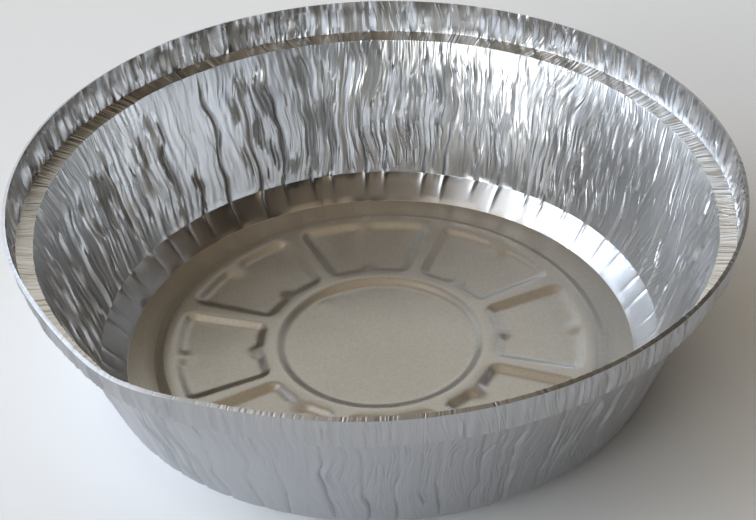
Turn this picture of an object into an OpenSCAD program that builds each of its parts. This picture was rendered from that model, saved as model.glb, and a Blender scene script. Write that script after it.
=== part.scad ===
// Round foil bowl, pressed from one thin sheet of aluminium.
// Lengths are in millimetres and angles in degrees. +Z is up, and the bowl
// stands at z = 0 on the flat ring round the edge of its floor.

/* [Bowl] */
// Outside diameter across the lip of the rim
rim_d = 180; // [174:1:200]
// Height from the table to the top of the rim
bowl_h = 52; // [40:1:70]
// Diameter of the floor, inside the foot bevel
floor_d = 131; // [126:1:136]
// Thickness of the foil
foil_t = 0.1; // [0.08:0.01:0.2]

/* [Rim] */
// Height of the upright band above the ledge
band_h = 9; // [5:0.5:13]
// How far the band leans outward over its height
band_flare = 1.2; // [0:0.1:3]
// Width of the turned-out lip
lip_w = 0.9; // [0.5:0.1:1.5]
// How far the edge of the lip curls down
lip_drop = 0.4; // [0.1:0.1:0.6]
// Width of the ledge
ledge_w = 4.1; // [2.5:0.1:6]
// How much the ledge rises toward the band
ledge_rise = 0.5; // [0:0.1:1.2]

/* [Foot] */
// Width of the bevel between the floor and the wall
foot_w = 5.9; // [4:0.1:7]
// Height of the bevel between the floor and the wall
foot_h = 6; // [4:0.1:8]

/* [Floor pattern] */
// Height of the raised rings and spokes above the table
relief_h = 1.2; // [0.6:0.1:1.8]
// Gap under the sunk panels and the middle dish
sunk_gap = 0.15; // [0.05:0.05:0.4]
// Width of the flat ring that the bowl stands on
rest_w = 7; // [5:0.5:9]
// Width of every sloped side in the floor
bevel_w = 2.4; // [1.6:0.1:3]
// Flat width of the outer raised ring
outer_ring_w = 2.8; // [1.5:0.1:4]
// Length of the sunk panels along the spokes
panel_l = 23.4; // [18:0.2:26]
// Flat width of the inner raised ring
inner_ring_w = 2.9; // [1.5:0.1:4]
// Number of sunk panels, with a spoke between each two
panels = 8; // [6:1:9]
// Turn of the panel pattern about the middle
panel_turn = 4; // [0:1:22]
// Flat width of a spoke, as an angle at the middle
spoke_deg = 4.5; // [3:0.5:7]
// Corner size of the sunk panels
corner_r = 3; // [1.5:0.1:4]
// How far the pinch in the middle of a panel's end runs into the panel
pinch_l = 1.4; // [0.5:0.1:3]

/* [Creases] */
// Number of tucks across the foot bevel
tucks = 56; // [44:1:58]
// Height of a tuck
tuck_h = 0.7; // [0.2:0.05:0.9]
// Width of a tuck
tuck_w = 1.5; // [1:0.1:2]
// Depth of the creases in the band and the lip
band_crease = 0.22; // [0:0.02:0.35]
// Depth of the creases in the ledge
ledge_crease = 0.16; // [0:0.02:0.25]
// Depth of the creases in the wall
wall_crease = 0.55; // [0:0.05:0.7]
// How far the creases in the wall wander sideways
wander = 0.5; // [0:0.1:0.7]
// How far up and down the creases in the wall change course
crease_spread = 4; // [0:0.5:4.5]

/* [Wear] */
// How far the rim is pulled out at its bent place
bend_out = 2.2; // [0:0.1:3]
// How far the rim sags at its bent place
bend_sag = 1.2; // [0:0.1:2]
// Direction of the bent place
bend_at = 231; // [0:1:359]
// Spread of the bent place to each side
bend_span = 12; // [8:1:30]
// How far the rim is pressed in beside the bent place
press_in = 0.9; // [0:0.1:1.5]
// Angle from the bent place to the middle of the pressed side
press_from = 60; // [30:1:90]
// Spread of the pressed side to each side
press_span = 34; // [20:1:50]

/* [Hidden] */

// Radii of the wall, outside to inside.
lip_r = rim_d / 2;
band_top_r = lip_r - lip_w;
band_foot_r = band_top_r - band_flare;
wall_top_r = band_foot_r - ledge_w;
floor_r = floor_d / 2;
wall_foot_r = floor_r + foot_w;

// Heights of the wall on its inner skin.
ledge_z = bowl_h - band_h;
wall_top_z = ledge_z - ledge_rise;
wall_foot_z = foot_h + foil_t;
wall_run = wall_top_r - wall_foot_r;
wall_drop = wall_top_z - wall_foot_z;

// Radii and heights of the floor pattern on the inner skin.
step_foot_r = floor_r - rest_w;
step_top_r = step_foot_r - bevel_w;
panel_out_r = step_top_r - outer_ring_w;
panel_in_r = panel_out_r - panel_l;
dish_top_r = panel_in_r - inner_ring_w;
dish_foot_r = dish_top_r - bevel_w;
rest_z = foil_t;
raised_z = foil_t + relief_h;
sunk_z = foil_t + sunk_gap;
sector = 360 / panels;
spoke_edge = (sector - spoke_deg) / 2;
toe_r = corner_r / 2;
start_deg = panel_turn - sector / 2;

// Foil columns: each tuck of the foot bevel owns this many creases above it.
per_tuck = 5;
wall_cols = tucks * per_tuck;
tuck_deg = 360 / tucks;
crease_deg = tuck_deg / per_tuck;
tuck_half = asin(tuck_w / 2 / wall_foot_r);

// A repeatable irregular number from 0 to 1 for a place i in series s.
function wobble(i, s) =
    let (v = sin(i * 127.1 + s * 311.7 + 17) * 437.585)
    v - floor(v);

// The same, from -1 to 1.
function sway(i, s) = 2 * wobble(i, s) - 1;

// A smooth hump of height 1 round direction c, falling off over span.
function hump(a, c, span) =
    let (d = (a - c + 900) % 360 - 180)
    exp(-d * d / span / span);

// Stations of the wall from the lip's edge down to the floor's edge, each
// [radius, height, crease depth, gathering, share of the bend, share of the
// spread of the creases].
wall_stations = [
    [lip_r, bowl_h - lip_drop, band_crease * 0.5, 0, 1, 0],
    [band_top_r, bowl_h, band_crease, 0, 1, 0],
    [band_foot_r, ledge_z, ledge_crease, 0, 0.62, 0],
    [wall_top_r, wall_top_z, ledge_crease, 0.12, 0.5, 0],
    [wall_top_r - wall_run * 0.33, wall_top_z - wall_drop * 0.33,
        wall_crease, 0.3, 0.25, 1],
    [wall_top_r - wall_run * 0.68, wall_top_z - wall_drop * 0.68,
        wall_crease, 0.68, 0.08, 1],
    [wall_foot_r, wall_foot_z, tuck_h, 1, 0, 0],
    [floor_r, rest_z, 0, 1, 0, 0]
];
last_wall = len(wall_stations) - 1;

// Unit normal of the band between stations k and k + 1, into the bowl.
function band_normal(k) =
    let (
        d = k < last_wall
            ? [for (c = [0, 1]) wall_stations[k + 1][c] - wall_stations[k][c]]
            : [-1, 0]
    )
    [d[1], -d[0]] / norm(d);

// Direction at station k that moves both of its bands by one foil thickness.
function miter(k) =
    let (a = band_normal(max(k - 1, 0)), b = band_normal(k))
    (a + b) / (1 + a * b);

// Direction of column i at station k. The columns are evenly spread at the
// rim and gather round the tucks at the foot.
function tuck_at(j) = tuck_deg * (j + 0.3 + 0.22 * sway(j, 1));

function even_deg(i) = crease_deg * (i + 0.5 + 0.22 * sway(i, 2));

function gathered_deg(i) =
    let (
        j = floor(i / per_tuck),
        m = i % per_tuck,
        here = tuck_at(j),
        gap = tuck_at(j + 1) - here - 2 * tuck_half
    )
    m < 3
        ? here + (m - 1) * tuck_half
        : here + tuck_half + gap * (m - 2) / (per_tuck - 2);

function column_deg(i, k) =
    let (
        g = wall_stations[k][3],
        drift = (k > 3 && k < last_wall)
            ? wander * sway(floor(i / per_tuck), 10 + k)
            : 0
    )
    start_deg + even_deg(i) * (1 - g) + gathered_deg(i) * g + drift;

// Height of the foil's relief at column i of station k.
function relief(i, k) =
    let (
        m = i % per_tuck,
        j = floor(i / per_tuck),
        zigzag = [-0.6, 1, -0.55, 0.75, -0.35][m],
        depth = wall_stations[k][2]
    )
    k == last_wall ? 0
    : k == last_wall - 1
        ? (m == 1 ? depth * (0.55 + 0.45 * wobble(j, 5))
            : m == 3 ? depth * 0.35 * sway(j, 6)
            : 0)
    : depth * zigzag * (0.4 + 0.6 * wobble(i, 20 + k));

// One skin of the wall at column i of station k, off the inner skin by t.
function wall_point(i, k, t) =
    let (
        s = wall_stations[k],
        a = column_deg(i, k),
        bend = hump(a, bend_at, bend_span),
        press = hump(a, bend_at + press_from, press_span),
        n = miter(k),
        move = relief(i, k) - t,
        along = s[5] * crease_spread * sway(i, 30 + k),
        ragged = k == 0 ? 0.12 * sway(i, 7) : 0,
        edge = k == last_wall ? 0.12 * sway(i, 8) : 0,
        r = s[0] + n[0] * move + n[1] * along
            + s[4] * (bend_out * bend - press_in * press) + ragged + edge,
        z = s[1] + n[1] * move - n[0] * along
            - s[4] * bend_sag * bend + ragged
    )
    [r * cos(a), r * sin(a), z];

// Columns of one sector of the floor, as shares of the way to the spoke.
side_cols = [-1, -0.78, -0.6, -0.4, -0.18, 0, 0.18, 0.4, 0.6, 0.78, 1];
per_panel = len(side_cols);
floor_cols = panels * per_panel;
pinch_col = floor((per_panel - 1) / 2);

// Half the width of the panel's sunk part at radius r, as an angle.
function toe_deg(r) = spoke_edge - asin(bevel_w / r);

// Share of a rounded corner that column m has still to turn.
function corner_left(m) =
    let (c = min(m, per_panel - 1 - m))
    c == 0 ? 1 : c == 1 ? 0.29 : 0;

// Angle of column m on the top outline of a panel, at an end of radius r.
function top_deg(m, r) =
    let (
        side = sign(side_cols[m]),
        c = min(m, per_panel - 1 - m),
        turn = asin(corner_r / r)
    )
    c == 0 ? side * spoke_edge
    : c == 1 ? side * (spoke_edge - 0.29 * turn)
    : c == 2 ? side * (spoke_edge - turn)
    : side_cols[m] * spoke_edge;

// Angle of column m on the sunk outline of a panel, at an end of radius r.
function sunk_deg(m, r) =
    let (
        side = sign(side_cols[m]),
        c = min(m, per_panel - 1 - m),
        turn = asin(toe_r / r)
    )
    c == 0 ? side * spoke_edge
    : c == 1 ? side * toe_deg(r)
    : c == 2 ? side * (toe_deg(r) - turn)
    : side_cols[m] * spoke_edge;

// End outlines of a panel for column m: facing +1 at the outer end and -1 at
// the inner end. Each is [angle, radius, height].
function top_outline(m, r, facing) =
    [top_deg(m, r), r - facing * corner_r * corner_left(m), raised_z];

function sunk_outline(m, r, facing) =
    let (
        c = min(m, per_panel - 1 - m),
        toe = r - facing * bevel_w,
        back = c == 0 ? corner_r * 1.4 : c == 1 ? toe_r : 0,
        nose = m == pinch_col ? pinch_l : 0
    )
    [sunk_deg(m, toe), toe - facing * (back + nose), c == 0 ? raised_z : sunk_z];

// Rings of the floor from the step's foot to the dish, for column m.
function floor_spot(q, m) =
    let (plain = side_cols[m] * spoke_edge)
    q == 0 ? [plain, step_foot_r, rest_z]
    : q == 1 ? [plain, step_top_r, raised_z]
    : q == 2 ? top_outline(m, panel_out_r, 1)
    : q == 3 ? sunk_outline(m, panel_out_r, 1)
    : q == 4 ? sunk_outline(m, panel_in_r, -1)
    : q == 5 ? top_outline(m, panel_in_r, -1)
    : q == 6 ? [plain, dish_top_r, raised_z]
    : [plain, dish_foot_r, sunk_z];
floor_rings = 8;

function floor_deg(i, q) =
    panel_turn + sector * floor(i / per_panel) + floor_spot(q, i % per_panel)[0];

function floor_point(i, q, t) =
    let (f = floor_spot(q, i % per_panel), a = floor_deg(i, q))
    [f[1] * cos(a), f[1] * sin(a), f[2] - t];

// All points of one skin, ring by ring from the lip to the middle.
function skin(t) = concat(
    [for (k = [0 : last_wall]) for (i = [0 : wall_cols - 1]) wall_point(i, k, t)],
    [for (q = [0 : floor_rings - 1]) for (i = [0 : floor_cols - 1])
        floor_point(i, q, t)],
    [[0, 0, sunk_z - t]]
);
floor_start = (last_wall + 1) * wall_cols;
middle = floor_start + floor_rings * floor_cols;
skin_size = middle + 1;

// Triangles between two rings of n points that start at a and b.
function ribbon(a, b, n) = [
    for (i = [0 : n - 1])
        let (j = (i + 1) % n)
        each [[a + i, b + i, a + j], [a + j, b + i, b + j]]
];

// Number of values in a rising list that lie below v, its first left out.
function passed(list, v) = len([for (x = list) if (x < v) x]) - 1;

// Triangles between two rings with different numbers of points, which are at
// the rising directions oa outside and ia inside.
function stitched(a, oa, b, ia) =
    let (na = len(oa), nb = len(ia))
    concat(
        [for (i = [0 : na - 1])
            let (
                next = i + 1 < na ? oa[i + 1] : oa[0] + 360,
                j = max(0, passed(ia, next))
            )
            [a + i, b + (next > ia[0] + 360 ? 0 : j), a + (i + 1) % na]],
        [for (j = [0 : nb - 1])
            let (
                next = j + 1 < nb ? ia[j + 1] : ia[0] + 360,
                i = passed(oa, next)
            )
            [b + j, b + (j + 1) % nb, a + (next >= oa[0] + 360 ? 0 : i)]]
    );

wall_faces = [
    for (k = [0 : last_wall - 1])
        each ribbon(k * wall_cols, (k + 1) * wall_cols, wall_cols)
];
rest_faces = stitched(
    last_wall * wall_cols,
    [for (i = [0 : wall_cols - 1]) column_deg(i, last_wall)],
    floor_start,
    [for (i = [0 : floor_cols - 1]) floor_deg(i, 0)]
);

// Whether the square at column m between floor rings q and q + 1 is cut from
// its outer left corner, so that the cuts mirror about each panel's middle.
function cut_left(m, q) = (q < 3) == (m < pinch_col);

floor_faces = [
    for (q = [0 : floor_rings - 2])
        for (i = [0 : floor_cols - 1])
            let (
                a = floor_start + q * floor_cols,
                b = a + floor_cols,
                j = (i + 1) % floor_cols
            )
            each cut_left(i % per_panel, q)
                ? [[a + i, b + i, b + j], [a + i, b + j, a + j]]
                : [[a + i, b + i, a + j], [a + j, b + i, b + j]]
];
dish_faces = [
    for (i = [0 : floor_cols - 1])
        let (last_ring = middle - floor_cols)
        [last_ring + i, middle, last_ring + (i + 1) % floor_cols]
];
skin_faces = concat(wall_faces, rest_faces, floor_faces, dish_faces);

// The cut edge of the foil joins the two skins round the lip.
edge_faces = [
    for (i = [0 : wall_cols - 1])
        let (j = (i + 1) % wall_cols)
        each [
            [i, j, j + skin_size],
            [i, j + skin_size, i + skin_size]
        ]
];

// The whole bowl: an inner and an outer skin one foil thickness apart.
module bowl() {
    color([0.78, 0.78, 0.77])
        polyhedron(
            points = concat(skin(0), skin(foil_t)),
            faces = concat(
                skin_faces,
                [for (f = skin_faces) [for (v = [2, 1, 0]) f[v] + skin_size]],
                edge_faces
            ),
            convexity = 6
        );
}

bowl();
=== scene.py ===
"""Looks for the foil bowl: one creased foil shell, its metal, a pale floor, soft light and the camera."""

import math

import bpy
import numpy as np
from mathutils import Matrix


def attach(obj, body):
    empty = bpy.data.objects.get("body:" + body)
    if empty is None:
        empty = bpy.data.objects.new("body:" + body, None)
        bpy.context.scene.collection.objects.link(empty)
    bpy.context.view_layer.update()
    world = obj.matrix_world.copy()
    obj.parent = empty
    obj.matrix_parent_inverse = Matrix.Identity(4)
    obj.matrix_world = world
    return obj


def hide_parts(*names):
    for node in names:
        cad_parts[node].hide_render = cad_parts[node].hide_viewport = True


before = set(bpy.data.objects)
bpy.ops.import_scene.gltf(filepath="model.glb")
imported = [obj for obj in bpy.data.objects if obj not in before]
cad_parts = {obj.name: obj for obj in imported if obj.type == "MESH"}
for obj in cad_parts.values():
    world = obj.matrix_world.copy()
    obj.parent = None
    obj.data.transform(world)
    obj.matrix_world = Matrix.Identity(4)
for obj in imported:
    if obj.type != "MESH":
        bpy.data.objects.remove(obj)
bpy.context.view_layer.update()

MM = 0.001
NODE = "bowl"

# Sizes of the bowl in mm and degrees, the same as in the part's source
LIP_R = 90.0
BOWL_H = 52.0
FLOOR_R = 65.5
FOIL_T = 0.1
BAND_H = 9.0
BAND_FLARE = 1.2
LIP_W = 0.9
LIP_DROP = 0.4
LEDGE_W = 4.1
LEDGE_RISE = 0.5
FOOT_W = 5.9
FOOT_H = 6.0
RELIEF_H = 1.2
SUNK_GAP = 0.15
REST_W = 7.0
BEVEL_W = 2.4
OUTER_RING_W = 2.8
PANEL_L = 23.4
INNER_RING_W = 2.9
PANELS = 8
PANEL_TURN = 4.0
SPOKE_DEG = 4.5
CORNER_R = 3.0
BREAK_HALF = 1.4
TUCKS = 56
TUCK_H = 0.7
TUCK_W = 1.5
BEND_OUT = 2.2
BEND_SAG = 1.2
BEND_AT = 231.0
BEND_SPAN = 12.0
PRESS_IN = 0.9
PRESS_FROM = 60.0
PRESS_SPAN = 34.0

# Radii, heights and directions that follow from them
BAND_TOP_R = LIP_R - LIP_W
BAND_FOOT_R = BAND_TOP_R - BAND_FLARE
WALL_TOP_R = BAND_FOOT_R - LEDGE_W
WALL_FOOT_R = FLOOR_R + FOOT_W
LEDGE_Z = BOWL_H - BAND_H
WALL_TOP_Z = LEDGE_Z - LEDGE_RISE
WALL_FOOT_Z = FOOT_H + FOIL_T
STEP_FOOT_R = FLOOR_R - REST_W
STEP_TOP_R = STEP_FOOT_R - BEVEL_W
PANEL_OUT_R = STEP_TOP_R - OUTER_RING_W
PANEL_IN_R = PANEL_OUT_R - PANEL_L
DISH_TOP_R = PANEL_IN_R - INNER_RING_W
DISH_FOOT_R = DISH_TOP_R - BEVEL_W
SUNK_Z = FOIL_T + SUNK_GAP
SECTOR = 360.0 / PANELS
SPOKE_EDGE = (SECTOR - SPOKE_DEG) / 2
START_DEG = PANEL_TURN - SECTOR / 2
TUCK_DEG = 360.0 / TUCKS

# The first tuck's place and how uneven the tucks lie, in shares of the way from one to the next
TUCK_FIRST = 0.3
TUCK_UNEVEN = 0.22

# Columns of the creased wall: each tuck of the foot owns this many, of which a few are its own ridge
PER_TUCK = 16
RIDGE_COL = 4
RIDGE_HALF = 2
WALL_COLS = TUCKS * PER_TUCK
RIDGES = np.arange(TUCKS) * PER_TUCK + RIDGE_COL

FOOT_ROUND = 0.3
FLOOR_ROUND = 0.25
SEAM_IN = 2.0

# Corners of the wall's section: radius, height and rounding. The places 0, 1, 2 and so on, which are used
# below, are these corners in turn, and a place such as 1.5 is halfway from one corner to the next.
CORNERS = [
    (LIP_R, BOWL_H - LIP_DROP, 0.0),
    (BAND_TOP_R, BOWL_H, 0.0),
    (BAND_FOOT_R, LEDGE_Z, 0.0),
    (WALL_TOP_R, WALL_TOP_Z, 0.0),
    (WALL_FOOT_R, WALL_FOOT_Z, FOOT_ROUND),
    (FLOOR_R, FOIL_T, FLOOR_ROUND),
    (FLOOR_R - SEAM_IN, FOIL_T, 0.0),
]
WALL_TOP, WALL_FOOT, FLOOR_EDGE, LAST_CORNER = 3, 4, 5, 6

# Steps from each corner to the next
STEPS = [2, 7, 2, 21, 4, 1]

# Fades: places along the section, and how strongly a form shows at each
BEND_SHARE = ([1, 2, 3, 3.33, 3.68, 4], [1, 0.62, 0.5, 0.25, 0.08, 0])
GATHERED = ([2, 3, 3.33, 3.68, 4], [0, 0.12, 0.3, 0.68, 1])
TUCK_LEAN = ([3, 3.6, 4, 5], [0, 0.5, 0, 0.8])
WANDER = ([0, 3, 3.15, 3.8, 4.1, 6], [0, 0.05, 0.8, 0.8, 0.15, 0])
TUCK_FOOT = ([3.9, 4.1], [1, 0.5])
FACETED = ([3.9, 4.2, 4.7, 5], [0, 1, 1, 0])
DENTED = ([2.9, 3.3, 3.8, 4.1, 4.6, 5], [0, 1, 1, 0.12, 0.06, 0])
HOLLOW = ([1, 1.5, 2], [0, 1, 0])
CRUMPLED = ([1, 1.15, 1.9, 2], [0, 1, 1, 0])
WAVED = ([0, 1.5, 2, 3, 3.1], [0.5, 1, 0.3, 0.3, 0])
RAGGED = ([0, 0.5, 1], [1, 0.3, 0])

# Depths in mm of the pleats, creases and folds, and how far the corner lines slide, at such places
PLEAT_DEPTH = (
    [0, 0.8, 1, 1.1, 1.5, 1.9, 2, 2.5, 3, 3.12],
    [0, 0.05, 0.15, 0.6, 0.95, 0.75, 0.3, 0.07, 0.1, 0],
)
CREASE_DEPTH = ([0, 2.95, 3.05, 3.25, 3.5, 3.9, 4, 4.1], [0, 0.05, 0.25, 0.54, 0.54, 0.48, 0.1, 0])
FOLD_DEPTH = ([2.95, 3.3, 3.9, 4, 4.1], [0, 0.17, 0.17, 0.04, 0])
SLIDE = ([1.9, 2, 3, 3.1, 3.9, 4, 4.1, 5, 6], [0, 0.06, 0.1, 0, 0, 0.08, 0.05, 0.05, 0])

# Layers of smooth noise: strength, cells round the bowl, rows down the wall and seed
DRIFT_DEG = [(1.5, 17, 3, 2), (1.0, 50, 9, 3), (0.55, 104, 17, 4)]
DENTS_MM = [(0.32, 22, 3, 31), (0.2, 47, 6, 32)]
CRUMPLE_MM = [(0.2, 95, 9, 36)]
WAVE_MM = [(0.12, 40, 3, 33)]
SLIDE_NOISE = [(1.0, 150, 6, 34)]
RAGGED_NOISE = [(1.0, 40, 6, 35)]

# Knots of the pleats, creases and folds: half their number between two fixed ridges, drawn from the list,
# and the seed
BAND_KNOTS = ([4, 4, 5], 11)
CREASE_KNOTS = ([4, 5, 5, 6], 21)
FOLD_KNOTS = ([1, 2, 2], 51)

# Their sizes, as random factors (least, most and seed) and as smooth ones (mean, noise, cells, rows, seed)
BAND_SIZES = (0.25, 1, 12)
CREASE_SIZES = (0.3, 1, 22)
BAND_UNEVEN = (0.65, 0.5, 160, 5, 13)
CREASE_UNEVEN = (0.62, 0.75, 260, 11, 23)
CREASE_PATCHES = (0.8, 0.6, 36, 4, 24)
FOLD_UNEVEN = (0.5, 0.7, 120, 6, 52)
RIDGE_LEAST = 0.35
RIDGE_SHARE = 0.6

# The tucks: mean, spread and sway of their height, of their reach down the bevel and of how fast they
# fade up the wall; their cross-section by columns from the ridge; and how far they lean, in degrees
TUCK_TALL = (0.7, 0.3, 5)
TUCK_REACH = (0.75, 0.35, 6)
TUCK_FADE_UP = (5.0, 2.5, 7)
REACH_LEAST, REACH_MOST = 0.5, 1.05
REACH_CURVE = 0.8
TUCK_CREST = ([0, 1, 2, 3], [1, 0.6, 0.12, 0])
LEAN_DEG = 0.45
LEAN_SWAY = 10

BAND_HOLLOW = 0.3
RAGGED_H = 0.04
FACET_H = 0.06

# The wall is calmer at the front and at the right: direction, span and how much
FRONT_DEG = 266
FRONT_SPAN = 52
FRONT_CALM = 0.5
RIGHT_DEG = 15
RIGHT_SPAN = 42
RIGHT_CALM = 0.6
BAND_FRONT_SPAN = 60
BAND_FRONT_CALM = 0.6

# Rings and columns of the floor: shares of a bevel, shares of the half panel, and distances in mm
BEVEL_COLUMNS = [0.0, 0.14, 0.38, 0.62, 0.86, 1.0]
BEVEL_RINGS = [-0.12, 0.14, 0.38, 0.62, 0.86, 1.12]
STEP_RINGS = [-0.05, 0.07, 0.36, 0.64, 0.93, 1.05]
PANEL_COLUMNS = [0.93, 0.8, 0.62, 0.42, 0.27, 0.17, 0.085]
REST_RING = 4.0
OUTER_RING = 1.2
INNER_RING = 1.6
FROM_PANEL_OUT = [3.7, 4.9, 6.8, 9.3, 11.8, 14.3]
FROM_PANEL_IN = [7.1, 5.5, 4.3, 3.5]
FROM_DISH_FOOT = [1.4, 2.6, 4.1, 7.1, 12.1, 18.1]

# Small forms of the floor, in mm: the break in the middle of each panel's ends, its two pits, the slow
# warp of the sheet and one shallow crease at the dish's edge
RAMP_SOFT = 0.09
BREAK_EDGE = 0.6
BREAK_REACH = 7.0
PIT_H = 0.08
PIT_W = 0.8
PIT_L = 0.7
WARP_SPAN = 140.0
WARPS_MM = [(0.12, 7, 7, 41), (0.06, 16, 16, 42)]
WARP_FADE = ([54, 60, 62], [1, 0.3, 0])
DISH_CREASE_DEG = 131
DISH_CREASE_SPAN = 5.5
DISH_CREASE_R = DISH_FOOT_R - 2.0
DISH_CREASE_L = 1.5
DISH_CREASE_H = 0.28

SHARP_DEG = 50


def sway(i, s):
    """The repeatable irregular numbers from -1 to 1 that place the tucks in the solid."""
    v = np.sin(np.radians(np.asarray(i) * 127.1 + s * 311.7 + 17)) * 437.585
    return 2 * (v - np.floor(v)) - 1


def smooth_noise(turn, down, cells, rows, seed):
    """Smooth noise from -1 to 1 that closes on itself round the bowl.

    turn runs from 0 to 1 round the bowl, and down from 0 to 1 along its section.
    """
    table = np.random.RandomState(seed).uniform(-1, 1, (rows + 2, cells))
    x = np.asarray(turn) * cells
    y = np.clip(np.asarray(down), 0, 1) * rows
    x0, y0 = np.floor(x).astype(int), np.floor(y).astype(int)
    fx, fy = x - x0, y - y0
    fx, fy = fx * fx * (3 - 2 * fx), fy * fy * (3 - 2 * fy)
    a, b = table[y0, x0 % cells], table[y0, (x0 + 1) % cells]
    c, d = table[y0 + 1, x0 % cells], table[y0 + 1, (x0 + 1) % cells]
    return (a * (1 - fx) + b * fx) * (1 - fy) + (c * (1 - fx) + d * fx) * fy


def layered(turn, down, layers):
    """Layers of smooth noise, added together."""
    return sum(size * smooth_noise(turn, down, *layer) for size, *layer in layers)


def hump(deg, at, span):
    """1 in the direction at, falling off smoothly over the span in degrees."""
    d = (deg - at + 180) % 360 - 180
    return np.exp(-((d / span) ** 2))


def fade(place, table):
    """How strongly a form shows at each place."""
    return np.interp(place, *table)


def column_deg(cols):
    """Directions of evenly spread columns."""
    return START_DEG + cols / PER_TUCK * TUCK_DEG


def calmer(cols):
    """How strongly each column is creased: less at the front and at the right than elsewhere."""
    deg = column_deg(cols)
    front = FRONT_CALM * hump(deg, FRONT_DEG, FRONT_SPAN)
    right = RIGHT_CALM * hump(deg, RIGHT_DEG, RIGHT_SPAN)
    return (1 - front - right)[None, :]


def rounded_section():
    """Rings down the wall: radius, height, the two parts of the normal into the bowl, and place."""
    pts = np.array([corner[:2] for corner in CORNERS])
    rounding = [corner[2] for corner in CORNERS]
    seg = np.diff(pts, axis=0)
    length = np.linalg.norm(seg, axis=1)
    way = seg / length[:, None]
    normal = np.stack([way[:, 1], -way[:, 0]], 1)
    trim = [0.0]
    for k in range(1, LAST_CORNER):
        turn = math.acos(np.clip(way[k - 1] @ way[k], -1, 1))
        trim.append(rounding[k] * math.tan(turn / 2))
    trim.append(0.0)
    rings = []
    for k, steps in enumerate(STEPS):
        t0, t1 = trim[k] / length[k], 1 - trim[k + 1] / length[k]
        # An unrounded corner is one ring, which the rings of the straights leave out.
        first = 1 if k and not rounding[k] else 0
        last = steps - 1 if k + 1 < len(STEPS) and not rounding[k + 1] else steps
        for s in range(first, last + 1):
            t = t0 + (t1 - t0) * s / steps
            rings.append((*(pts[k] + seg[k] * t), *normal[k], k + t))
        if k + 1 < len(STEPS):
            a, b = normal[k], normal[k + 1]
            mid = (a + b) / np.linalg.norm(a + b)
            reach = rounding[k + 1] * (1 if a[0] * b[1] - a[1] * b[0] < 0 else -1)
            centre = pts[k + 1] - way[k] * trim[k + 1] + a * reach
            rings.append((*(centre - mid * reach), *mid, k + 1.0))
    return np.array(rings)


def tuck_at(j):
    """Direction of tuck j from the first column, in degrees."""
    return TUCK_DEG * (j + TUCK_FIRST + TUCK_UNEVEN * sway(j % TUCKS, 1))


def column_degrees():
    """Even directions for the rim, and directions gathered round the tucks for the foot."""
    i = np.arange(WALL_COLS)
    j, m = i // PER_TUCK, i % PER_TUCK
    even = TUCK_DEG * (j + TUCK_FIRST + (m - RIDGE_COL) / PER_TUCK)
    half = math.degrees(math.asin(TUCK_W / 2 / WALL_FOOT_R))
    here = tuck_at(j)
    low_gap = here - tuck_at(j - 1) - 2 * half
    high_gap = tuck_at(j + 1) - here - 2 * half
    free = PER_TUCK - 2 * RIDGE_HALF
    low, high = RIDGE_COL - RIDGE_HALF, RIDGE_COL + RIDGE_HALF
    below = here - half - low_gap * (low - m) / free
    ridge = here + (m - RIDGE_COL) * half / RIDGE_HALF
    above = here + half + high_gap * (m - high) / free
    return even, np.where(m < low, below, np.where(m <= high, ridge, above))


def knots(halves, seed, fixed):
    """Columns where the foil turns, and 1 for a ridge or -1 for a valley, in turn.

    Each column in fixed is a ridge. From one to the next lie twice as many knots as drawn from halves.
    """
    rng = np.random.RandomState(seed)
    cols, sign = [], []
    for a, b in zip(fixed, [*fixed[1:], fixed[0] + WALL_COLS]):
        count = 2 * int(rng.choice(halves))
        cuts = np.sort(rng.choice(np.arange(1, b - a), size=count - 1, replace=False))
        places = [a] + [a + int(c) for c in cuts]
        cols += places
        sign += [1 if q % 2 == 0 else -1 for q in range(len(places))]
    return np.array(cols), np.array(sign)


def pleats(cols, heights):
    """The relief of every column between the knots, for each ring: heights is rings by knots."""
    order = np.argsort(cols % WALL_COLS)
    x = (cols % WALL_COLS)[order].astype(float)
    x = np.concatenate([[x[-1] - WALL_COLS], x, [x[0] + WALL_COLS]])
    rows = heights[:, order]
    rows = np.concatenate([rows[:, -1:], rows, rows[:, :1]], axis=1)
    return np.array([np.interp(np.arange(WALL_COLS), x, row) for row in rows])


def drawn(cols, least, most, seed):
    """A random factor for each knot."""
    return np.random.RandomState(seed).uniform(least, most, len(cols))


def uneven(cols, down, mean, size, cells, rows, seed):
    """A smoothly changing factor for each ring and knot."""
    return mean + size * smooth_noise((cols / WALL_COLS)[None, :], down, cells, rows, seed)


def band_pleats(place):
    """Dense narrow pleats of the band and the ledge, calmer at the front."""
    cols, sign = knots(*BAND_KNOTS, fixed=np.arange(0, WALL_COLS, PER_TUCK))
    height = sign * drawn(cols, *BAND_SIZES) * uneven(cols, place / WALL_FOOT, *BAND_UNEVEN)
    calm = 1 - BAND_FRONT_CALM * hump(column_deg(cols), FRONT_DEG, BAND_FRONT_SPAN)
    return pleats(cols, height * calm[None, :]) * fade(place, PLEAT_DEPTH)


def wall_creases(place, down):
    """Creases of the wall, in stronger and weaker patches, some of which run into a tuck at the foot."""
    cols, sign = knots(*CREASE_KNOTS, fixed=RIDGES)
    height = sign * drawn(cols, *CREASE_SIZES) * uneven(cols, down, *CREASE_UNEVEN)
    height = height * uneven(cols, down, *CREASE_PATCHES) * calmer(cols)
    is_tuck = np.isin(cols, RIDGES)[None, :]
    height = np.where(is_tuck, np.abs(height) * RIDGE_SHARE + RIDGE_LEAST, height)
    return pleats(cols, height) * fade(place, CREASE_DEPTH)


def wall_folds(place, down):
    """Wider folds under the creases."""
    cols, sign = knots(*FOLD_KNOTS, fixed=RIDGES)
    height = sign * uneven(cols, down, *FOLD_UNEVEN) * calmer(cols)
    return pleats(cols, height) * fade(place, FOLD_DEPTH)


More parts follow.
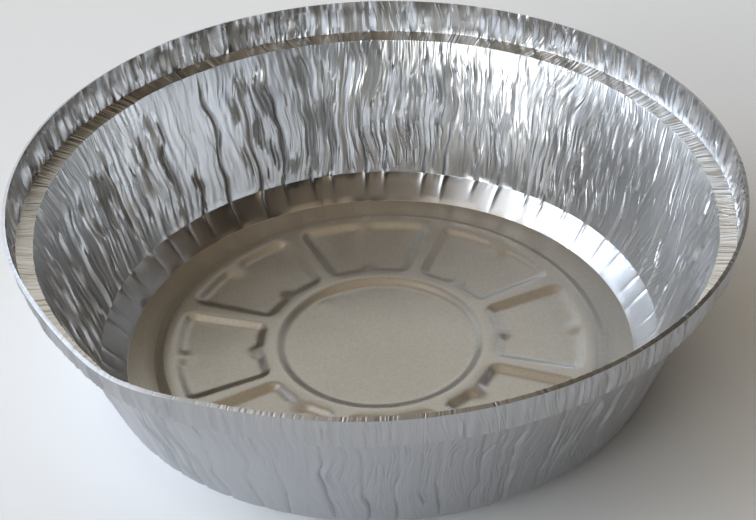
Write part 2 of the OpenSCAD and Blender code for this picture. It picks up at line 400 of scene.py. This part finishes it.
def varied(tuck, mean, spread, s):
    """A value of its own for each tuck."""
    return mean + spread * sway(tuck, s)


def foot_tucks(place, col):
    """Tucks across the foot bevel, the folds that rise from them, and the facets between them."""
    tuck = (col // PER_TUCK)[None, :]
    from_ridge = ((col % PER_TUCK) - RIDGE_COL)[None, :]
    reach = np.clip(varied(tuck, *TUCK_REACH), REACH_LEAST, REACH_MOST)
    above = np.exp(-np.maximum(WALL_FOOT - place, 0) * varied(tuck, *TUCK_FADE_UP))
    below = np.clip(1 - np.clip(place - WALL_FOOT, 0, 1) / reach, 0, 1) ** REACH_CURVE
    along = np.where(place < WALL_FOOT, above, below) * fade(place, TUCK_FOOT)
    ridge = TUCK_H * varied(tuck, *TUCK_TALL) * along * fade(np.abs(from_ridge), TUCK_CREST)
    between = ((from_ridge - RIDGE_HALF) % PER_TUCK) / (PER_TUCK - 2 * RIDGE_HALF)
    facet = np.sin(np.clip(between, 0, 1) * np.pi)
    return ridge - FACET_H * facet * fade(place, FACETED)


def wall_relief(place, down, turn, col):
    """Height of every crease and dent above the section, in mm."""
    relief = band_pleats(place) - BAND_HOLLOW * fade(place, HOLLOW)
    relief = relief + wall_creases(place, down) + wall_folds(place, down) + foot_tucks(place, col)
    relief = relief + layered(turn, down, DENTS_MM) * calmer(col) * fade(place, DENTED)
    along_rim = place / WALL_TOP
    relief = relief + layered(turn, along_rim, CRUMPLE_MM) * calmer(col) * fade(place, CRUMPLED)
    return relief + layered(turn, along_rim, WAVE_MM) * fade(place, WAVED)


def wall_skin():
    """Inner skin of the wall, the direction in which its outer skin lies, and the last ring's directions.

    The skin and its direction are both rings by columns by 3.
    """
    radius, height, normal_r, normal_z, place = rounded_section().T[:, :, None]
    col = np.arange(WALL_COLS)
    turn = (col / WALL_COLS)[None, :]
    down = (place - WALL_TOP) / (FLOOR_EDGE - WALL_TOP)

    even, gathered = column_degrees()
    share = fade(place, GATHERED)
    drift = fade(place, WANDER) * layered(turn, down, DRIFT_DEG)
    lean = LEAN_DEG * sway(col // PER_TUCK, LEAN_SWAY)[None, :] * fade(place, TUCK_LEAN)
    deg = START_DEG + even[None, :] * (1 - share) + gathered[None, :] * share + drift + lean

    along = place / LAST_CORNER
    relief = wall_relief(place, down, turn, col)
    slide = layered(turn, along, SLIDE_NOISE) * fade(place, SLIDE)
    ragged = RAGGED_H * fade(place, RAGGED) * (1 + layered(turn, along, RAGGED_NOISE))

    bent = fade(place, BEND_SHARE)
    bend, press = hump(deg, BEND_AT, BEND_SPAN), hump(deg, BEND_AT + PRESS_FROM, PRESS_SPAN)
    r = radius + normal_r * relief + normal_z * slide + bent * (BEND_OUT * bend - PRESS_IN * press) - ragged
    z = height + normal_z * relief - normal_r * slide - bent * BEND_SAG * bend - ragged
    z = np.where(place >= FLOOR_EDGE, FOIL_T, np.maximum(z, FOIL_T))
    a = np.radians(deg)
    inner = np.stack([r * np.cos(a), r * np.sin(a), z], -1)
    away = np.stack([-normal_r * np.cos(a), -normal_r * np.sin(a), -normal_z * np.ones_like(a)], -1)
    return inner, away, deg[-1]


def floor_columns(r):
    """Directions of the floor's columns at radius r, which follow each panel's edges."""
    bevel = math.degrees(math.asin(BEVEL_W / max(r, PANEL_IN_R)))
    inside = [(SPOKE_EDGE - bevel) * share for share in reversed(PANEL_COLUMNS)]
    slope = [SPOKE_EDGE - bevel * share for share in reversed(BEVEL_COLUMNS)]
    half = np.array(inside + slope + [SPOKE_EDGE + SPOKE_DEG / 4])
    one = np.concatenate([[-SECTOR / 2], -half[::-1], [0.0], half])
    return np.concatenate([PANEL_TURN + SECTOR * p + one for p in range(PANELS)])


def floor_radii():
    """Radii of the floor's rings, closest on the bevels."""

    def bevel(foot, top, shares=BEVEL_RINGS):
        return [foot + (top - foot) * share for share in shares]

    rows = [FLOOR_R - REST_RING] + bevel(STEP_FOOT_R, STEP_TOP_R, STEP_RINGS) + [PANEL_OUT_R + OUTER_RING]
    rows += bevel(PANEL_OUT_R, PANEL_OUT_R - BEVEL_W)
    rows += [PANEL_OUT_R - d for d in FROM_PANEL_OUT] + [PANEL_IN_R + d for d in FROM_PANEL_IN]
    rows += bevel(PANEL_IN_R + BEVEL_W, PANEL_IN_R) + [PANEL_IN_R - INNER_RING]
    return rows + bevel(DISH_TOP_R, DISH_FOOT_R) + [DISH_FOOT_R - d for d in FROM_DISH_FOOT]


def ramp(t):
    """A slope from 0 to 1 with short rounded ends."""
    t = np.clip(t, -0.1, 1.1)
    low = np.where(t < RAMP_SOFT, (t + RAMP_SOFT) ** 2 / (4 * RAMP_SOFT), t)
    high = np.where(t > 1 - RAMP_SOFT, 1 - (1 + RAMP_SOFT - t) ** 2 / (4 * RAMP_SOFT), low)
    return np.clip(np.where(t < -RAMP_SOFT, 0, np.where(t > 1 + RAMP_SOFT, 1, high)), 0, 1)


def panel_depth(r, deg):
    """How far the panels are sunk at radius r, direction deg."""
    local = (deg - PANEL_TURN + SECTOR / 2) % SECTOR - SECTOR / 2
    side = r * np.sin(np.radians(SPOKE_EDGE - np.abs(local)))
    ends = np.minimum(PANEL_OUT_R - r, r - PANEL_IN_R)
    # The distance inside the panel's outline, with its corners rounded.
    corner = CORNER_R - np.hypot(np.maximum(CORNER_R - side, 0), np.maximum(CORNER_R - ends, 0))
    inside = np.where((side < CORNER_R) & (ends < CORNER_R), corner, np.minimum(side, ends))
    # In the middle of each end the bevel gives way to a soft ridge that runs into the panel.
    across = np.abs(r * np.sin(np.radians(local)))
    near_end = np.exp(-((np.maximum(ends, 0) / BREAK_REACH) ** 4))
    bridge = np.clip((BREAK_HALF + BREAK_EDGE - across) / BREAK_EDGE, 0, 1) * near_end
    sunk = (RELIEF_H - SUNK_GAP) * ramp(inside / (BEVEL_W * (1 + bridge)))
    pit_side = np.exp(-(((across - BREAK_HALF - PIT_W) / PIT_W) ** 2))
    pit_end = np.exp(-(((ends - BEVEL_W) / PIT_L) ** 2))
    return sunk + PIT_H * pit_side * pit_end


def floor_height(r, deg):
    """Height of the floor's inner skin at radius r, direction deg."""
    step = RELIEF_H * ramp((STEP_FOOT_R - r) / BEVEL_W)
    dish = (RELIEF_H - SUNK_GAP) * ramp((DISH_TOP_R - r) / BEVEL_W)
    return FOIL_T + step - panel_depth(r, deg) - dish


def floor_skin():
    """Inner skin of the floor, rings by columns by 3, and the directions of its first ring."""
    radii = floor_radii()
    rows = []
    for r in radii:
        deg = floor_columns(r)
        a = np.radians(deg)
        x, y = r * np.cos(a), r * np.sin(a)
        warp = layered(x / WARP_SPAN + 0.5, y / WARP_SPAN + 0.5, WARPS_MM)
        crease_r = np.exp(-(((r - DISH_CREASE_R) / DISH_CREASE_L) ** 2))
        crease = DISH_CREASE_H * hump(deg, DISH_CREASE_DEG, DISH_CREASE_SPAN) * crease_r
        z = floor_height(np.full_like(deg, r), deg) + np.abs(warp) * fade(r, WARP_FADE) + crease
        rows.append(np.stack([x, y, np.maximum(z, FOIL_T)], -1))
    return np.array(rows), floor_columns(radii[0])


def ribbon(a, b, n):
    """Faces between two rings of n points, whose first points are a and b."""
    i = np.arange(n)
    j = (i + 1) % n
    return np.stack([a + i, a + j, b + j, b + i], 1).tolist()


def stitched(a, outer, b, inner):
    """Triangles between two rings with different numbers of points, given their rising directions."""
    na, nb = len(outer), len(inner)
    outer = np.append(outer, outer[0] + 360)
    inner = np.append(inner, inner[0] + 360)
    faces, i, k = [], 0, 0
    while i < na or k < nb:
        if k >= nb or (i < na and outer[i + 1] <= inner[k + 1]):
            faces.append([a + i % na, a + (i + 1) % na, b + k % nb])
            i += 1
        else:
            faces.append([a + i % na, b + (k + 1) % nb, b + k % nb])
            k += 1
    return faces


def inner_faces(wall, last_deg, floor, first_deg):
    """Faces of the inner skin: the wall's rings, the seam, the floor's rings and the fan in its middle."""
    rings, cols = wall.shape[:2]
    floor_rows, floor_cols = floor.shape[:2]
    faces = []
    for k in range(rings - 1):
        faces += ribbon(k * cols, (k + 1) * cols, cols)
    start = rings * cols
    faces += stitched((rings - 1) * cols, last_deg, start, first_deg)
    for k in range(floor_rows - 1):
        faces += ribbon(start + k * floor_cols, start + (k + 1) * floor_cols, floor_cols)
    last, middle = start + (floor_rows - 1) * floor_cols, start + floor_rows * floor_cols
    return faces + [[last + i, last + (i + 1) % floor_cols, middle] for i in range(floor_cols)]


def foil_shell():
    """The whole bowl as one closed foil shell: slot 0 is its bright side, slot 1 its lip and matt side, whose
    darker tone is painted shade.
    """
    wall, away, last_deg = wall_skin()
    floor, first_deg = floor_skin()
    inner = np.concatenate([wall.reshape(-1, 3), floor.reshape(-1, 3), [[0, 0, SUNK_Z]]])
    straight_down = np.tile([[0, 0, -1.0]], (floor.shape[0] * floor.shape[1] + 1, 1))
    outer = inner + np.concatenate([away.reshape(-1, 3), straight_down]) * FOIL_T
    outer[:, 2] = np.maximum(outer[:, 2], 0)

    inside = inner_faces(wall, last_deg, floor, first_deg)
    size, cols = len(inner), WALL_COLS
    faces = inside + [[v + size for v in reversed(face)] for face in inside]
    faces += [[(i + 1) % cols, i, i + size, (i + 1) % cols + size] for i in range(cols)]
    lip, bright = STEPS[0] * cols, len(inside)

    mesh = bpy.data.meshes.new("foil_shell")
    mesh.from_pydata((np.concatenate([inner, outer]) * MM).tolist(), [], faces)
    mesh.polygons.foreach_set("material_index", [0 if lip <= k < bright else 1 for k in range(len(faces))])
    mesh.validate()
    mesh.update()
    mesh.shade_smooth()
    mesh.set_sharp_from_angle(angle=math.radians(SHARP_DEG))
    obj = bpy.data.objects.new("foil_shell", mesh)
    bpy.context.scene.collection.objects.link(obj)
    return obj


# Tones of the foil, the share of its darker specks, and its least and most roughness
INSIDE_TONE = (0.64, 0.64, 0.64)
# Painted reflection: the bowl's floor is darker and warmer than its wall, standing in for the dark warm room
# it mirrors
FLOOR_PAINTED_REFLECTION_TONE = (0.57, 0.56, 0.54)
# Painted shade: the outside, lip and rim edge are darker than the inside, though they are the same metal
OUTSIDE_SHADED_TONE = (0.46, 0.465, 0.48)
SPECK_TONE = 0.9
BRIGHT_WALL_ROUGH = (0.25, 0.36)
BRIGHT_FLOOR_ROUGH = (0.3, 0.36)
MATT_WALL_ROUGH = (0.38, 0.44)
MATT_FLOOR_ROUGH = (0.4, 0.46)

# Where the metal changes, in mm: from wall to floor, where the roughness and the painted reflection tone
# change, where the creases start, and the ledge
WALL_ENDS_R, FLOOR_STARTS_R = FLOOR_R + 1.0, FLOOR_R - 0.5
CREASES_FROM_Z, CREASES_FULL_Z = WALL_FOOT_Z + 0.3, WALL_FOOT_Z + 1.5
LEDGE_FROM_Z, LEDGE_TO_Z, LEDGE_FADE = WALL_TOP_Z - 0.7, LEDGE_Z + 0.6, 0.5

# Fine creases in metres: they run up the wall, sway sideways and are deeper at the right than at the left
CREASE_ROUND = 0.08
CREASE_SWAY = 0.016
CREASE_STRETCH = 0.11
CREASE_DEEP = 0.0005
PLEAT_DEEP = 0.0002
GRAIN_DEEP = 0.00006
GRAIN_STRENGTH = 0.25
LEFT_X, RIGHT_X = -40 * MM, 50 * MM
LEFT_STRENGTH = 0.4


# Noises of the metal: scale to the metre, detail and roughness
SWAY_NOISE = (34.0, 1.0, 0.5)
GRAIN_NOISE = (2600.0, 3.0, 0.6)
CREASE_NOISE = (820.0, 2.5, 0.6)
CREASE_DISTORTION = 0.8
PLEAT_NOISE = (1700.0, 1.0, 0.5)
SPECK_NOISE = (1500.0, 2.0, 0.5)
SOFT_NOISE = (28.0, 3.0, 0.55)
SPECK_RANGE = (0.35, 0.65)
SOFT_RANGE = (0.3, 0.7)


class Nodes:
    """Short calls for building a material's nodes."""

    def __init__(self, name):
        self.mat = bpy.data.materials.new(name)
        self.mat.use_nodes = True
        self.tree = self.mat.node_tree
        self.bsdf = self.tree.nodes["Principled BSDF"]

    def add(self, kind, **values):
        node = self.tree.nodes.new(kind)
        for key, value in values.items():
            setattr(node, key, value)
        return node

    def link(self, out, into):
        self.tree.links.new(out, into)

    def put(self, value, socket):
        """Links an output to the socket, or sets its number or colour."""
        if isinstance(value, tuple):
            socket.default_value = (*value, 1)
        elif isinstance(value, (int, float)):
            socket.default_value = value
        else:
            self.link(value, socket)

    def math(self, op, a, b=None):
        node = self.add("ShaderNodeMath", operation=op)
        self.put(a, node.inputs[0])
        if b is not None:
            self.put(b, node.inputs[1])
        return node.outputs[0]

    def mix(self, share, a, b):
        node = self.add("ShaderNodeMix", data_type="RGBA")
        self.link(share, node.inputs[0])
        self.put(a, node.inputs[6])
        self.put(b, node.inputs[7])
        return node.outputs[2]

    def noise(self, vector, scale, detail, rough, kind="FBM", distortion=0.0):
        node = self.add("ShaderNodeTexNoise", noise_type=kind)
        self.link(vector, node.inputs["Vector"])
        node.inputs["Scale"].default_value = scale
        node.inputs["Detail"].default_value = detail
        node.inputs["Roughness"].default_value = rough
        node.inputs["Distortion"].default_value = distortion
        return node.outputs[0]

    def span(self, value, low, high, to_low=0.0, to_high=1.0):
        """Maps low to high onto to_low to to_high, and holds it there."""
        node = self.add("ShaderNodeMapRange")
        self.link(value, node.inputs[0])
        for k, v in enumerate((low, high, to_low, to_high)):
            node.inputs[k + 1].default_value = v
        return node.outputs[0]

    def bump(self, height, distance, strength, normal=None):
        node = self.add("ShaderNodeBump")
        self.put(strength, node.inputs["Strength"])
        node.inputs["Distance"].default_value = distance
        self.link(height, node.inputs["Height"])
        if normal:
            self.link(normal, node.inputs["Normal"])
        return node.outputs[0]


def along_creases(n, place, x, y, z, radius):
    """A place for noise that runs along the creases: the direction from the axis, swayed, and less height."""
    away_x, away_y = n.math("DIVIDE", x, radius), n.math("DIVIDE", y, radius)
    sideways = n.math("MULTIPLY", n.math("SUBTRACT", n.noise(place, *SWAY_NOISE), 0.5), CREASE_SWAY)
    round_x, round_y = n.math("MULTIPLY", away_x, CREASE_ROUND), n.math("MULTIPLY", away_y, CREASE_ROUND)
    node = n.add("ShaderNodeCombineXYZ")
    n.link(n.math("SUBTRACT", round_x, n.math("MULTIPLY", away_y, sideways)), node.inputs[0])
    n.link(n.math("ADD", round_y, n.math("MULTIPLY", away_x, sideways)), node.inputs[1])
    n.link(n.math("MULTIPLY", z, CREASE_STRETCH), node.inputs[2])
    return node.outputs[0]


def foil_bumps(n, place, around, x, z):
    """Satin grain, fine creases of the wall and fine pleats of the ledge, as one normal."""
    creased = n.span(z, CREASES_FROM_Z * MM, CREASES_FULL_Z * MM)
    to_right = n.span(x, LEFT_X, RIGHT_X, LEFT_STRENGTH, 1.0)
    above = n.span(z, LEDGE_FROM_Z * MM, (LEDGE_FROM_Z + LEDGE_FADE) * MM)
    below = n.span(z, LEDGE_TO_Z * MM, (LEDGE_TO_Z - LEDGE_FADE) * MM)
    grain = n.noise(place, *GRAIN_NOISE)
    creases = n.noise(around, *CREASE_NOISE, kind="RIDGED_MULTIFRACTAL", distortion=CREASE_DISTORTION)
    pleat = n.noise(around, *PLEAT_NOISE)
    fine = n.bump(grain, GRAIN_DEEP, GRAIN_STRENGTH)
    lines = n.bump(creases, -CREASE_DEEP, n.math("MULTIPLY", creased, to_right), fine)
    return n.bump(pleat, -PLEAT_DEEP, n.math("MULTIPLY", above, below), lines)


def foil_material(name, wall_tone, painted_floor_tone, wall_rough, floor_rough):
    """Foil of one side: tones and roughness ranges of its creased wall and of its flat floor. The floor tone
    is painted: on the bright side it is a painted reflection of the dark warm room, and on the matt side it
    is the painted shade of the outside.
    """
    n = Nodes(name)
    place = n.add("ShaderNodeTexCoord").outputs["Object"]
    parts = n.add("ShaderNodeSeparateXYZ")
    n.link(place, parts.inputs[0])
    x, y, z = parts.outputs
    radius = n.math("SQRT", n.math("ADD", n.math("MULTIPLY", x, x), n.math("MULTIPLY", y, y)))
    on_floor = n.span(radius, WALL_ENDS_R * MM, FLOOR_STARTS_R * MM)

    speck = n.noise(place, *SPECK_NOISE)
    darker = tuple(v * SPECK_TONE for v in painted_floor_tone)
    speckled_painted_floor = n.mix(n.span(speck, *SPECK_RANGE), darker, painted_floor_tone)
    # The floor's tone, blended in from the wall's, is painted reflection on the bright side and painted shade
    # on the matt side
    n.link(n.mix(on_floor, wall_tone, speckled_painted_floor), n.bsdf.inputs["Base Color"])
    n.bsdf.inputs["Metallic"].default_value = 1.0

    soft = n.noise(place, *SOFT_NOISE)
    on_wall = n.math("SUBTRACT", 1.0, on_floor)
    wall_part = n.math("MULTIPLY", n.span(soft, *SOFT_RANGE, *wall_rough), on_wall)
    floor_part = n.math("MULTIPLY", n.span(soft, *SOFT_RANGE, *floor_rough), on_floor)
    n.link(n.math("ADD", wall_part, floor_part), n.bsdf.inputs["Roughness"])

    around = along_creases(n, place, x, y, z, radius)
    n.link(foil_bumps(n, place, around, x, z), n.bsdf.inputs["Normal"])
    return n.mat


shell = foil_shell()
shell.data.materials.append(
    foil_material("foil_bright", INSIDE_TONE, FLOOR_PAINTED_REFLECTION_TONE, BRIGHT_WALL_ROUGH, BRIGHT_FLOOR_ROUGH)
)
# The matt side carries the darker outside tone, which is painted shade
shell.data.materials.append(
    foil_material("foil_matt_shaded", OUTSIDE_SHADED_TONE, OUTSIDE_SHADED_TONE, MATT_WALL_ROUGH, MATT_FLOOR_ROUGH)
)
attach(shell, "root")
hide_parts(NODE)

# The pale floor, in metres: it lies a little below the bowl, so that the two never share a plane
STAGE_W = 6.0
STAGE_DROP = 0.0002
STAGE_TONES = (0.93, 0.93, 0.93), (0.95, 0.95, 0.95)
STAGE_NOISE = (3.0, 2.0, 0.5)
STAGE_ROUGH = 0.9


def stage_material():
    n = Nodes("pale_floor")
    place = n.add("ShaderNodeTexCoord").outputs["Object"]
    n.link(n.mix(n.noise(place, *STAGE_NOISE), *STAGE_TONES), n.bsdf.inputs["Base Color"])
    n.bsdf.inputs["Roughness"].default_value = STAGE_ROUGH
    n.bsdf.inputs["Specular IOR Level"].default_value = 0.0
    return n.mat


def stage_floor():
    half = STAGE_W / 2
    corners = [(-half, -half, 0), (half, -half, 0), (half, half, 0), (-half, half, 0)]
    mesh = bpy.data.meshes.new("floor")
    mesh.from_pydata(corners, [], [(0, 1, 2, 3)])
    mesh.materials.append(stage_material())
    obj = bpy.data.objects.new("floor", mesh)
    obj.location.z = -STAGE_DROP
    bpy.context.scene.collection.objects.link(obj)
    return obj


floor = stage_floor()

# The key lamp: direction (azimuth from +X and elevation), distance and size in metres, power and colour
KEY_FROM = (188, 52)
KEY_AWAY = 1.6
KEY_SIZE = 1.1
KEY_WATTS = 4.0
KEY_COLOUR = (1.0, 0.99, 0.97)
KEY_AIM_Z = 0.02

# Soft lights of the room: azimuth, elevation, half angle of full strength, half angle of the edge, colour
ROOM_LIGHTS = {
    "window": (228, 6, 8, 30, (4.5, 4.6, 4.5)),
    "window_left": (190, 2, 15, 50, (3.1, 3.45, 3.95)),
    "left_wall": (156, 17, 8, 34, (2.1, 2.4, 2.85)),
    "warm_wall": (95, 4, 20, 62, (1.0, 0.96, 0.86)),
    "brown_wall": (8, 25, 8, 28, (0.11, 0.08, 0.05)),
    "ceiling": (0, 90, 10, 45, (0.45, 0.36, 0.25)),
}


def toward(azimuth, elevation):
    """The unit vector toward a direction of the room, in degrees."""
    a, e = math.radians(azimuth), math.radians(elevation)
    return np.array([math.cos(e) * math.cos(a), math.cos(e) * math.sin(a), math.sin(e)])


def placed(side, up, back, at):
    """The matrix of an object at a place, which looks against back."""
    rows = [[side[k], up[k], back[k], at[k]] for k in range(3)]
    return Matrix(rows + [[0, 0, 0, 1]])


def key_lamp():
    data = bpy.data.lights.new("key", "AREA")
    data.shape = "RECTANGLE"
    data.size = data.size_y = KEY_SIZE
    data.energy = KEY_WATTS
    data.color = KEY_COLOUR
    obj = bpy.data.objects.new("key", data)
    at = KEY_AWAY * toward(*KEY_FROM)
    way = at - [0, 0, KEY_AIM_Z]
    way /= np.linalg.norm(way)
    side = np.cross([0, 0, 1], way)
    side /= np.linalg.norm(side)
    obj.matrix_world = placed(side, np.cross(way, side), way, at)
    bpy.context.scene.collection.objects.link(obj)


def room_world():
    """A dark room with soft-edged round lights, added together."""
    world = bpy.data.worlds.new("studio_room")
    world.use_nodes = True
    tree = world.node_tree
    coord = tree.nodes.new("ShaderNodeTexCoord").outputs["Generated"]

    def vector_math(op):
        node = tree.nodes.new("ShaderNodeVectorMath")
        node.operation = op
        return node

    def light(azimuth, elevation, full, edge, colour):
        dot = vector_math("DOT_PRODUCT")
        tree.links.new(coord, dot.inputs[0])
        dot.inputs[1].default_value = toward(azimuth, elevation)
        falloff = tree.nodes.new("ShaderNodeMapRange")
        falloff.interpolation_type = "SMOOTHSTEP"
        tree.links.new(dot.outputs["Value"], falloff.inputs[0])
        falloff.inputs[1].default_value = math.cos(math.radians(edge))
        falloff.inputs[2].default_value = math.cos(math.radians(full))
        tint = vector_math("SCALE")
        tint.inputs[0].default_value = colour
        tree.links.new(falloff.outputs[0], tint.inputs["Scale"])
        return tint.outputs[0]

    total, *others = [light(*values) for values in ROOM_LIGHTS.values()]
    for other in others:
        both = vector_math("ADD")
        tree.links.new(total, both.inputs[0])
        tree.links.new(other, both.inputs[1])
        total = both.outputs[0]
    tree.links.new(total, tree.nodes["Background"].inputs[0])
    bpy.context.scene.world = world


key_lamp()
room_world()

# The camera at the photo's view: the photo's width and the focal length in pixels, the place in metres
# and the angles in radians
PHOTO_W = 756
FOCAL_PX = 1868.4
SENSOR_MM = 36.0
CLIP_START = 0.01
CAMERA_BACK = 0.3784
CAMERA_UP = 0.3048
CAMERA_DOWN = 0.63335
CAMERA_YAW = 0.0005
CAMERA_ROLL = -0.0346


def photo_camera():
    lens = bpy.data.cameras.new("photo_camera")
    lens.sensor_fit = "HORIZONTAL"
    lens.sensor_width = SENSOR_MM
    lens.lens = FOCAL_PX / PHOTO_W * SENSOR_MM
    lens.clip_start = CLIP_START
    camera = bpy.data.objects.new("photo_camera", lens)
    level = math.cos(CAMERA_DOWN)
    ahead = np.array([math.sin(CAMERA_YAW) * level, math.cos(CAMERA_YAW) * level, -math.sin(CAMERA_DOWN)])
    right = np.array([math.cos(CAMERA_YAW), -math.sin(CAMERA_YAW), 0.0])
    up = np.cross(right, ahead)
    cos_roll, sin_roll = math.cos(CAMERA_ROLL), math.sin(CAMERA_ROLL)
    side, top = cos_roll * right + sin_roll * up, cos_roll * up - sin_roll * right
    camera.matrix_world = placed(side, top, -ahead, (0.0, -CAMERA_BACK, CAMERA_UP))
    bpy.context.scene.collection.objects.link(camera)
    bpy.context.scene.camera = camera


photo_camera()
bpy.context.scene.view_settings.view_transform = "Standard"
